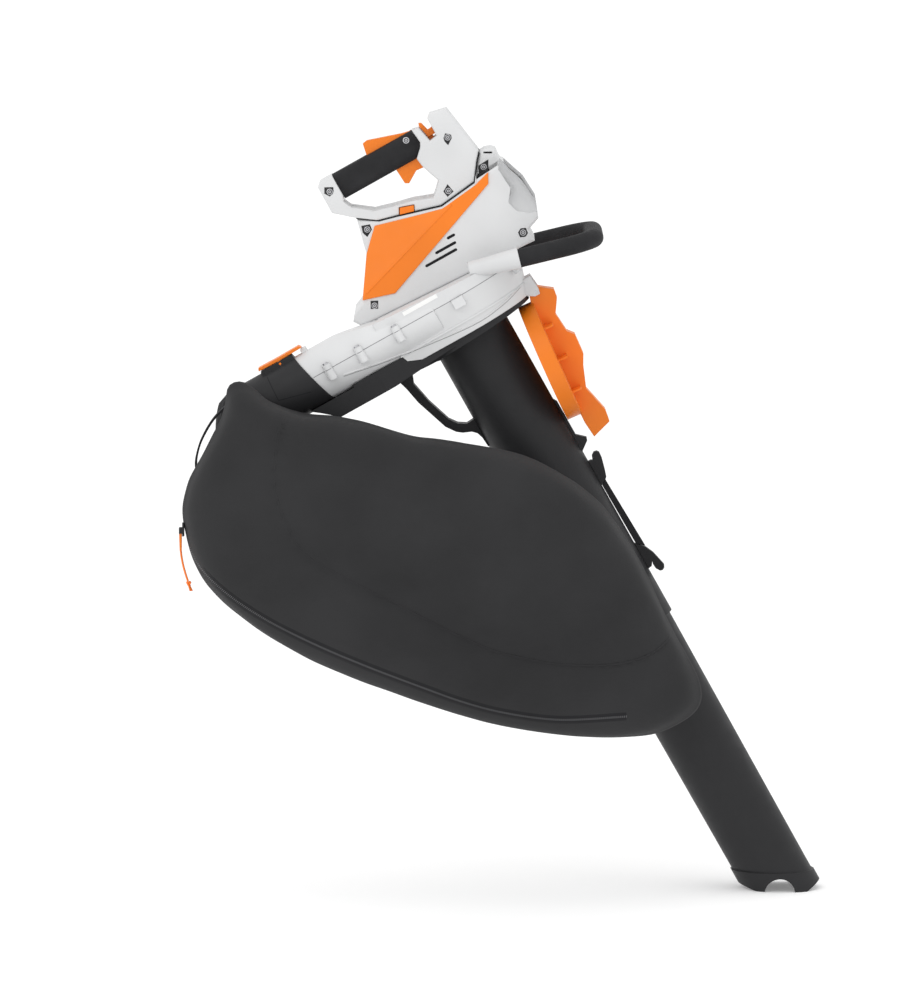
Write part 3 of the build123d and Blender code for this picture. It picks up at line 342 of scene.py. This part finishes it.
def nearest(line, p):
    """(distance, side) from a place to a line in the plane of the flank, side positive above it."""
    best, sign = 1e9, 1
    for a, b in zip(line, line[1:]):
        along = b - a
        k = min(max((p - a).dot(along) / along.length_squared, 0), 1)
        gap = (p - (a + along * k)).length
        if gap < best:
            best = gap
            sign = 1 if along.x * (p.y - a.y) - along.y * (p.x - a.x) > 0 else -1
    return best, sign


def bag_mesh():
    """Closed shell that swells from the rim to both flanks, with dents, folds and a raised panel seam."""
    around, deep, smoothing = 260, 34, 18
    rim = closed_line(BAG_OUTLINE, around)
    seam = open_line(PANEL_SEAM, 60)
    spread = range(-smoothing, smoothing + 1)
    calm = [sum((rim[(i + k) % around] for k in spread), Vector((0, 0))) / len(spread) for i in range(around)]
    verts, faces = [], []
    rows = []
    for table, side in ((BAG_PROFILE, -1), (BAG_BACK, 1)):
        first = 0 if side < 0 else 1
        for j, (y, scale) in list(enumerate(profile_points(table, deep)))[first:]:
            row = []
            for p, q in zip(rim, calm):
                # The corners of the outline fade out towards the middle of a flank
                p = p.lerp(q, min(1.0, j / deep * 1.5))
                spot = BAG_CENTRE + (p - BAG_CENTRE) * scale
                place = Vector((spot.x, y, spot.y))
                # Soft dents and long folds that run with the bag
                folds = (spot.x * 0.004 + spot.y * 0.008, spot.y * 0.014 - spot.x * 0.006, side)
                long = noise.noise(Vector(folds))
                small = noise.noise(Vector((spot.x * 0.021, spot.y * 0.034, y * 0.03 + side * 5)))
                out = Vector((p.x - BAG_CENTRE.x, 0, p.y - BAG_CENTRE.y)).normalized()
                push = 5.0 * long + 1.3 * small
                flank = min(1.0, j / deep * 2.2)
                place.y += side * push * flank
                place -= out * (1 - flank) * (1.6 + 1.2 * small)
                if side < 0:
                    gap, above = nearest(seam, spot)
                    step = 2.5 if above > 0 else 0
                    place.y += 3.2 * math.exp(-(gap / 7) ** 2) - step * (1 - math.exp(-gap / 25))
                row.append(len(verts))
                verts.append(place * MM)
            rows.append((side, row))
    near = [row for side, row in rows if side < 0]
    far = [near[0]] + [row for side, row in rows if side > 0]
    for stack, flip in ((near, False), (far, True)):
        for a, b in zip(stack, stack[1:]):
            for i in range(around):
                k = (i + 1) % around
                quad = (a[i], a[k], b[k], b[i])
                faces.append(quad if flip else quad[::-1])
    for stack, table, flip in ((near, BAG_PROFILE, False), (far, BAG_BACK, True)):
        tip = len(verts)
        verts.append(Vector((BAG_CENTRE.x, table[-1][0], BAG_CENTRE.y)) * MM)
        for i in range(around):
            k = (i + 1) % around
            tri = (stack[-1][i], stack[-1][k], tip)
            faces.append(tri if flip else tri[::-1])
    return verts, faces


bag_verts, bag_faces = bag_mesh()
bag = piece("bag_shell", bag_verts, bag_faces, bag_fabric, slot="bag_fabric")
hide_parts("bag")


# Cuff that gathers the bag around the outlet adapter, and the neck that turns from it into the bag
DUCT_H, DUCT_Y = 990.5, -82
CUFF_END = -334
NECK_BEND = Vector((-0.785, -0.086, 0.684))
NECK_FOOT = Vector((-0.786, -0.125, 0.64))


def ruffle(a, t):
    """Small unevenness of gathered cloth at an angle and a place along the sleeve."""
    return 0.7 * noise.noise(Vector((4 * math.cos(a), 4 * math.sin(a), t)))


def cuff_mesh():
    """Pleated sleeve around the adapter that goes on as the bag's neck."""
    around, deep, turns, pleats, radius = 120, 16, 18, 23, 44.2
    verts, faces = [], []
    for j in range(deep):
        t = j / (deep - 1)
        for i in range(around):
            a = 2 * math.pi * i / around
            pleat = 0.9 * math.sin(pleats * a) + ruffle(a, t)
            swell = radius + pleat * min(1.0, 0.35 + t) + 1.3 * math.exp(-((t - 0.15) / 0.09) ** 2)
            h = DUCT_H + swell * math.cos(a)
            start = -295 - 0.534 * (h - 985)
            verts.append(at(start + (CUFF_END - start) * t, h, DUCT_Y + swell * math.sin(a)))
    mouth = at(CUFF_END, DUCT_H, DUCT_Y)
    for j in range(1, turns + 1):
        t = j / turns
        centre = mouth.lerp(NECK_BEND, t).lerp(NECK_BEND.lerp(NECK_FOOT, t), t)
        along = (NECK_BEND - mouth).lerp(NECK_FOOT - NECK_BEND, t).normalized()
        side = (Vector((0, 1, 0)) - along * along.y).normalized()
        up = side.cross(along)
        for i in range(around):
            a = 2 * math.pi * i / around
            pleat = 0.9 * math.sin(pleats * a) + ruffle(a, 1 + t)
            swell = radius - 13 * t + pleat * (1 - 0.4 * t) + 1.5 * math.sin(5 * a + 3 * t) * t
            verts.append(centre + (up * math.cos(a) + side * math.sin(a)) * swell * MM)
    for j in range(deep + turns - 1):
        for i in range(around):
            k = (i + 1) % around
            faces.append((j * around + i, j * around + k, (j + 1) * around + k, (j + 1) * around + i))
    return verts, faces


cuff_verts, cuff_faces = cuff_mesh()
piece("bag_cuff", cuff_verts, cuff_faces, bag_fabric, slot="bag_fabric")


# ---------------------------------------------------------------- trim laid on the surfaces
def surface(*objects):
    """Search tree over the meshes of these objects, which all sit at the origin."""
    verts, polygons = [], []
    for obj in objects:
        first = len(verts)
        verts.extend(v.co.copy() for v in obj.data.vertices)
        polygons.extend([first + k for k in polygon.vertices] for polygon in obj.data.polygons)
    return BVHTree.FromPolygons(verts, polygons)


def flat(r, h):
    """Place seen from the side, in millimetres along X and Z."""
    spot = at(r, h) / MM
    return Vector((spot.x, spot.z))


def lay(tree, p, lift):
    """Place on the near side of a surface, standing this far proud of it, or None beside it."""
    hit = tree.ray_cast(Vector((p.x, -400, p.y)) * MM, Vector((0, 1, 0)))[0]
    if hit is None:
        return None
    return hit + Vector((0, -lift * MM, 0))


def ribbon_mesh(line, profile, tree):
    """Strip along a line; its profile is a list of (place across the line, height over the surface)."""
    rows = []
    for i, p in enumerate(line):
        along = (line[min(i + 1, len(line) - 1)] - line[max(i - 1, 0)]).normalized()
        across = Vector((-along.y, along.x))
        rows.append([lay(tree, p + across * side, lift) for side, lift in profile])
    verts, faces = [], []
    for a, b in zip(rows, rows[1:]):
        if None in a or None in b:
            continue
        first = len(verts)
        verts.extend(a + b)
        n = len(profile)
        for k in range(n - 1):
            faces.append((first + k, first + k + 1, first + n + k + 1, first + n + k))
    return verts, faces


def together(parts):
    """Joins several (verts, faces) into one."""
    verts, faces = [], []
    for more_verts, more_faces in parts:
        first = len(verts)
        verts.extend(more_verts)
        faces.extend([first + k for k in face] for face in more_faces)
    return verts, faces


def straight(points, step=2.0):
    """Places every few millimetres along straight runs."""
    points = [Vector(p) for p in points]
    total = sum((b - a).length for a, b in zip(points, points[1:]))
    return evenly(points, max(2, int(total / step)))


def groove(width):
    return [(-width / 2, 0.12), (width / 2, 0.12)]


def rib(width, height):
    half = [(-width / 2, -0.4), (-width * 0.36, height * 0.7), (-width * 0.15, height)]
    return half + [(-side, lift) for side, lift in half[::-1]]


def lines(name, routes, profile, tree, material, slot, step=2.0):
    """Ribbons along several routes given in (r, h)."""
    parts = [ribbon_mesh(straight([flat(*p) for p in route], step), profile, tree) for route in routes]
    return piece(name, *together(parts), material, slot=slot)


def plates(name, shapes, material, slot):
    """Flat plates facing the near side; each shape is its y and its outline in (r, h)."""
    parts = []
    for y, outline in shapes:
        parts.append(([at(r, h, y) for r, h in outline], [list(range(len(outline)))]))
    return piece(name, *together(parts), material, slot=slot, smooth=False)


fan = surface(nodes["fan_upper"], nodes["fan_lower"])
cover = surface(nodes["panel_near"])
adapter = surface(nodes["outlet_adapter"])
flank = surface(bag)

# Screws: seat of each (r, h, y)
SCREWS = [(110.5, 1195, -27), (74, 1127.6, -36), (-76, 1209.5, -26), (135, 1132.5, -30), (-55, 1136, -34),
          (-99, 1036.5, -54), (139, 1024, -54), (56, 1220, -18)]
RECESSES = [[(105, 1197), (110.5, 1202), (117, 1196), (115, 1191), (106, 1185), (104, 1192)],
            [(77.8, 1137), (67.5, 1130.5), (69, 1121), (80.5, 1123.5)],
            [(-79.5, 1219), (-68, 1213), (-71, 1207), (-79, 1203.5), (-84, 1211)],
            [(129, 1138), (146.4, 1139), (139, 1125.2), (123.4, 1124.8)],
            [(-60, 1145), (-48, 1141), (-49, 1133), (-60, 1127), (-63, 1135)],
            [(-100.4, 1045.5), (-90.5, 1040.5), (-96.5, 1030), (-106, 1035)],
            [(139, 1031), (133, 1028), (132, 1020), (139, 1017), (145, 1020), (146, 1028)]]


def turned(center, profile, around=32):
    """Surface of revolution about Y; its profile is a list of (radius, height over the seat)."""
    r, h, y = center
    verts, faces = [], []
    for radius, lift in profile:
        for i in range(around):
            a = 2 * math.pi * i / around
            verts.append(at(r + radius * math.cos(a), h + radius * math.sin(a), y - lift))
    for j in range(len(profile) - 1):
        for i in range(around):
            k = (i + 1) % around
            faces.append((j * around + i, j * around + k, (j + 1) * around + k, (j + 1) * around + i))
    return verts, faces


# Washer head with a pin in its socket: (radius, height over the seat)
HEAD = [(4.7, 0.1), (4.6, 0.9), (4.2, 1.1), (3.3, 1.1), (3.2, 0.4), (2.2, 0.4), (2.1, 1.0), (0.9, 1.0),
        (0.8, 0.4), (0.01, 0.4)]
# Painted shade: dark plates on the floors of the screw recesses
plates("recess_shade_plates", [(seat[2] - 0.15, recess) for seat, recess in zip(SCREWS, RECESSES)], recess_shade_grey,
       "light_plastic")
piece("screw_heads", *together([turned(seat, HEAD) for seat in SCREWS]), steel, slot="steel", smooth=False)
# Painted shade: dark rings and dots down in the screw sockets
piece("screw_socket_shade", *together([turned(seat, [(3.25, 0.5), (2.15, 0.5)]) for seat in SCREWS]
                                 + [turned(seat, [(0.95, 0.6), (0.01, 0.6)]) for seat in SCREWS]),
      shade_and_seam_black, slot="steel", smooth=False)

# Painted shade: dark plate inside the wall behind the vent slots, standing in for the shade there
VENT_FIELD = [(-22, 1040), (50, 1040), (62, 1080), (20, 1080)]
plates("vent_shade_plate", [(-56.4, VENT_FIELD)], shade_and_seam_black, "black_plastic")

# Smooth dish that closes the side of the battery opening; its white is a little darker than the housing's, as
# painted shade of the recess
DISH = [(161, 1133), (152.5, 1121), (155, 1089), (142, 1072), (146.6, 1056), (160.6, 1044.5), (171, 1041),
        (176.5, 1057), (174.5, 1090), (167, 1114)]
DISH_CENTRE = (162, 1082)
DISH_ROWS = [(1.0, -57.6), (0.94, -54), (0.8, -50.5), (0.55, -48), (0.25, -46.8)]  # scale of the outline, y


def dish_mesh():
    """Shallow bowl whose rows are the outline at smaller sizes, with a flat floor."""
    rim = [Vector((p.x, p.y)) for p in closed_line(DISH, 90)]
    centre = Vector(DISH_CENTRE)
    verts, faces = [], []
    for scale, y in DISH_ROWS:
        for p in rim:
            spot = centre + (p - centre) * scale
            verts.append(at(spot.x, spot.y, y))
    count = len(rim)
    for j in range(len(DISH_ROWS) - 1):
        for i in range(count):
            k = (i + 1) % count
            faces.append((j * count + i, j * count + k, (j + 1) * count + k, (j + 1) * count + i))
    faces.append([(len(DISH_ROWS) - 1) * count + i for i in range(count)])
    return verts, faces


piece("scoop_dish", *dish_mesh(), scoop_shaded_white, slot="light_plastic")

# Blank label on the shoulder of the fan housing, and the raised line along its lower shell
lines("warning_label", [[(-66, 1010.5), (41, 1010.5)]], [(-3, 0.3), (3, 0.3)], fan, label_white,
      "light_plastic")
FAN_LINE = [(-184, 976), (-102, 961), (9, 948.5), (60, 950.5), (100, 958.5)]
fan_line = open_line([flat(*p) for p in FAN_LINE], 220)
piece("fan_rib", *ribbon_mesh(fan_line, rib(3, 1.0), fan), light_plastic, slot="light_plastic")
# Painted shade: thin grey line just under the raised line
piece("fan_rib_shade", *ribbon_mesh([p + Vector((1.0, -1.8)) for p in fan_line], groove(0.7), fan), seam_and_shade_grey,
      slot="light_plastic")

# Crease of the orange cover, and the shut lines and relief of the white shells
lines("cover_crease", [[(-100, 1058), (69, 1110)]], rib(3.2, 0.7), cover, orange_plastic, "orange_plastic")
lines("fan_shut_line", [[(-222, 994), (118, 994)]], groove(0.9), fan, seam_and_shade_grey, "light_plastic")
ADAPTER_SEAMS = [[(-281, 1026), (-281.5, 1010), (-282, 990)], [(-282, 990), (-236, 978)]]
lines("adapter_seams", ADAPTER_SEAMS, groove(1.1), adapter, shade_and_seam_black, "black_plastic", 1.0)


# ---------------------------------------------------------------- bag trim
def crossing(line, length, width, lift, tree):
    """Small bars laid across a line, one at each of its places."""
    bar = [(0, 1, 2, 3), (0, 4, 5, 1), (1, 5, 6, 2), (2, 6, 7, 3), (3, 7, 4, 0)]
    parts = []
    for i, p in enumerate(line):
        along = (line[min(i + 1, len(line) - 1)] - line[max(i - 1, 0)]).normalized()
        across = Vector((-along.y, along.x))
        spots = [p + across * s * length / 2 + along * u * width / 2
                 for s, u in ((-1, -1), (1, -1), (1, 1), (-1, 1))]
        corners = [lay(tree, spot, height) for height in (lift, -0.3) for spot in spots]
        if None not in corners:
            parts.append((corners, bar))
    return together(parts)


zip_route = open_line(ZIP_LINE, 260)
piece("zip_tape", *ribbon_mesh(zip_route, rib(15, 0.35), flank), webbing, slot="bag_fabric")
piece("zip_teeth", *crossing(zip_route, 3.2, 1.1, 0.9, flank), zip_grey, slot="bag_fabric", smooth=False)
seam_route = open_line(PANEL_SEAM, 300)


def beside(line, gap):
    """Line that runs this far to one side of another."""
    moved = []
    for i, p in enumerate(line):
        along = (line[min(i + 1, len(line) - 1)] - line[max(i - 1, 0)]).normalized()
        moved.append(p + Vector((-along.y, along.x)) * gap)
    return moved


piece("panel_piping", *ribbon_mesh(seam_route, rib(2.6, 0.5), flank), bag_fabric, slot="bag_fabric")
piece("panel_stitches", *crossing(beside(seam_route, -4), 0.4, 1.6, 0.3, flank), thread, slot="bag_fabric",
      smooth=False)


def strap_mesh(points, half, thick, middle):
    """Webbing strap that follows a line seen from the side."""
    line = open_line(points, 60)
    verts, faces = [], []
    for i, p in enumerate(line):
        along = (line[min(i + 1, len(line) - 1)] - line[max(i - 1, 0)]).normalized()
        out = Vector((-along.y, along.x))
        for s, u in ((-1, -1), (1, -1), (1, 1), (-1, 1)):
            q = p + out * u * thick / 2
            verts.append(Vector((q.x, middle + s * half, q.y)) * MM)
    for i in range(len(line) - 1):
        for k in range(4):
            m = (k + 1) % 4
            faces.append((4 * i + k, 4 * i + m, 4 * i + 4 + m, 4 * i + 4 + k))
    last = 4 * (len(line) - 1)
    faces.append((3, 2, 1, 0))
    faces.append((last, last + 1, last + 2, last + 3))
    return verts, faces


STRAP_ROUTE = [(-788, 732), (-806, 717), (-825, 697), (-840, 671), (-847, 650), (-849, 633), (-845, 617)]
strap = piece("grab_webbing", *strap_mesh(STRAP_ROUTE, 12.3, 3, -124.5), webbing, slot="bag_fabric",
              smooth=False)
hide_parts("grab_strap")

# ---------------------------------------------------------------- pull cord and its knot
CORD_ROUTE = [(-0.8705, -0.15, 0.512), (-0.869, -0.15, 0.492), (-0.8605, -0.15, 0.468)]
CORD_WIDTH = 0.003
KNOT_CENTRE = Vector((-0.8594, -0.15, 0.4648))


def tube_mesh(line, radius, around=12, closed=False):
    """Round tube along a line of places."""
    verts, faces = [], []
    total = len(line)
    side = Vector((0, 1, 0))
    for i, p in enumerate(line):
        before = line[i - 1] if closed else line[max(i - 1, 0)]
        after = line[(i + 1) % total] if closed else line[min(i + 1, total - 1)]
        along = (after - before).normalized()
        side = (side - along * side.dot(along)).normalized()
        other = along.cross(side)
        for k in range(around):
            a = 2 * math.pi * k / around
            verts.append(p + (side * math.cos(a) + other * math.sin(a)) * radius)
    for i in range(total if closed else total - 1):
        j = (i + 1) % total
        for k in range(around):
            m = (k + 1) % around
            faces.append((i * around + k, i * around + m, j * around + m, j * around + k))
    if not closed:
        faces.append(list(range(around))[::-1])
        faces.append([(total - 1) * around + k for k in range(around)])
    return verts, faces


def knot_turns(count=90):
    """Closed line of a trefoil, small enough to look like a pulled-tight knot."""
    places = []
    for i in range(count):
        a = 2 * math.pi * i / count
        x = math.sin(a) + 2 * math.sin(2 * a)
        z = math.cos(a) - 2 * math.cos(2 * a)
        places.append(KNOT_CENTRE + Vector((x * 0.0009, -math.sin(3 * a) * 0.0011, z * 0.0009)))
    return places


tails = []
for s in (-1, 1):
    steps = ((s * 0.0006, s * 0.0008, 0), (0.0016 + s * 0.0007, s * 0.001, -0.006),
             (0.0036 + s * 0.0012, s * 0.001, -0.0112))
    tails.append([KNOT_CENTRE + Vector(step) for step in steps])
knot = piece("cord_knot", *together([tube_mesh(knot_turns(), 0.0013, closed=True)]
                                    + [tube_mesh(tail, 0.0012) for tail in tails]),
             cord_fabric, body="zip_pull", slot="cord")
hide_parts("pull_knot")

# Moulded sleeve on the zip's pull tab
SLEEVE = [(-872.9, 538.6), (-872.2, 539.8), (-869.6, 539.8), (-868.9, 538.6), (-869.1, 512.6),
          (-872.1, 512.6)]


def prism(outline, near, far):
    """Closed block between two values of y; its outline is in (X, Z)."""
    count = len(outline)
    verts = [Vector((x, y, z)) * MM for y in (near, far) for x, z in outline]
    faces = [[k, (k + 1) % count, count + (k + 1) % count, count + k] for k in range(count)]
    return verts, faces + [list(range(count))[::-1], [count + k for k in range(count)]]


piece("pull_sleeve", *prism(SLEEVE, -154.6, -145.4), orange_plastic, body="zip_pull", slot="cord",
      smooth=False)

cord_data = bpy.data.curves.new("pull_cord_line", "CURVE")
cord_data.dimensions = "3D"
cord_data.bevel_depth = CORD_WIDTH / 2
cord_data.bevel_resolution = 4
cord_data.resolution_u = 16
cord_spline = cord_data.splines.new("NURBS")
cord_spline.points.add(len(CORD_ROUTE) - 1)
for point, place in zip(cord_spline.points, CORD_ROUTE):
    point.co = (*place, 1)
cord_spline.order_u = 3
cord_spline.use_endpoint_u = True
cord = bpy.data.objects.new("cord_line", cord_data)
bpy.context.scene.collection.objects.link(cord)
paint(cord, cord_fabric)
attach(cord, "zip_pull")
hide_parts("pull_cord")


# ---------------------------------------------------------------- light, floor and camera
def area_light(name, place, target, size, power):
    data = bpy.data.lights.new(name, "AREA")
    data.shape = "DISK"
    data.size = size
    data.energy = power
    light = bpy.data.objects.new(name, data)
    light.location = place
    light.rotation_euler = (Vector(target) - Vector(place)).to_track_quat("-Z", "Y").to_euler()
    bpy.context.scene.collection.objects.link(light)


world = bpy.data.worlds.new("studio")
bpy.context.scene.world = world
world.use_nodes = True
world.node_tree.nodes["Background"].inputs["Color"].default_value = (1, 1, 1, 1)
world.node_tree.nodes["Background"].inputs["Strength"].default_value = 1.0
area_light("overhead", (-0.6, -0.3, 3.2), (-0.45, 0, 0.3), 2.2, 5)
area_light("key", (-2.6, -3.0, 2.8), (-0.45, 0, 0.7), 1.6, 17)


def backdrop(name, corners, glow):
    """Seamless white studio surface that glows a little, so that it stays white."""
    mesh = bpy.data.meshes.new(name)
    mesh.from_pydata(corners, [], [(0, 1, 2, 3)])
    sheet = bpy.data.objects.new(name, mesh)
    bpy.context.scene.collection.objects.link(sheet)
    shade = Shade(name + "_shade", (0.9, 0.9, 0.9), 0.95, Specular_IOR_Level=0.0, Emission_Strength=glow)
    shade.shader.inputs["Emission Color"].default_value = (1, 1, 1, 1)
    shade.tint(shade.noise(2, 2), (0.895, 0.895, 0.895), (0.905, 0.905, 0.905))
    paint(sheet, shade.material)


backdrop("floor", [(-40, -40, 0), (40, -40, 0), (40, 40, 0), (-40, 40, 0)], 0.2)

ELEVATION = math.radians(6.5)
DISTANCE = 12.0
camera_data = bpy.data.cameras.new("camera")
camera_data.lens = 36 * DISTANCE / 1.45
camera_data.sensor_width = 36
camera_data.sensor_fit = "AUTO"
camera = bpy.data.objects.new("camera", camera_data)
bpy.context.scene.collection.objects.link(camera)
target = Vector((-0.4734, 0, 0.5677))
camera.location = target + DISTANCE * Vector((0, -math.cos(ELEVATION), math.sin(ELEVATION)))
camera.rotation_euler = (target - camera.location).to_track_quat("-Z", "Y").to_euler()
bpy.context.scene.camera = camera
bpy.context.scene.view_settings.view_transform = "Standard"
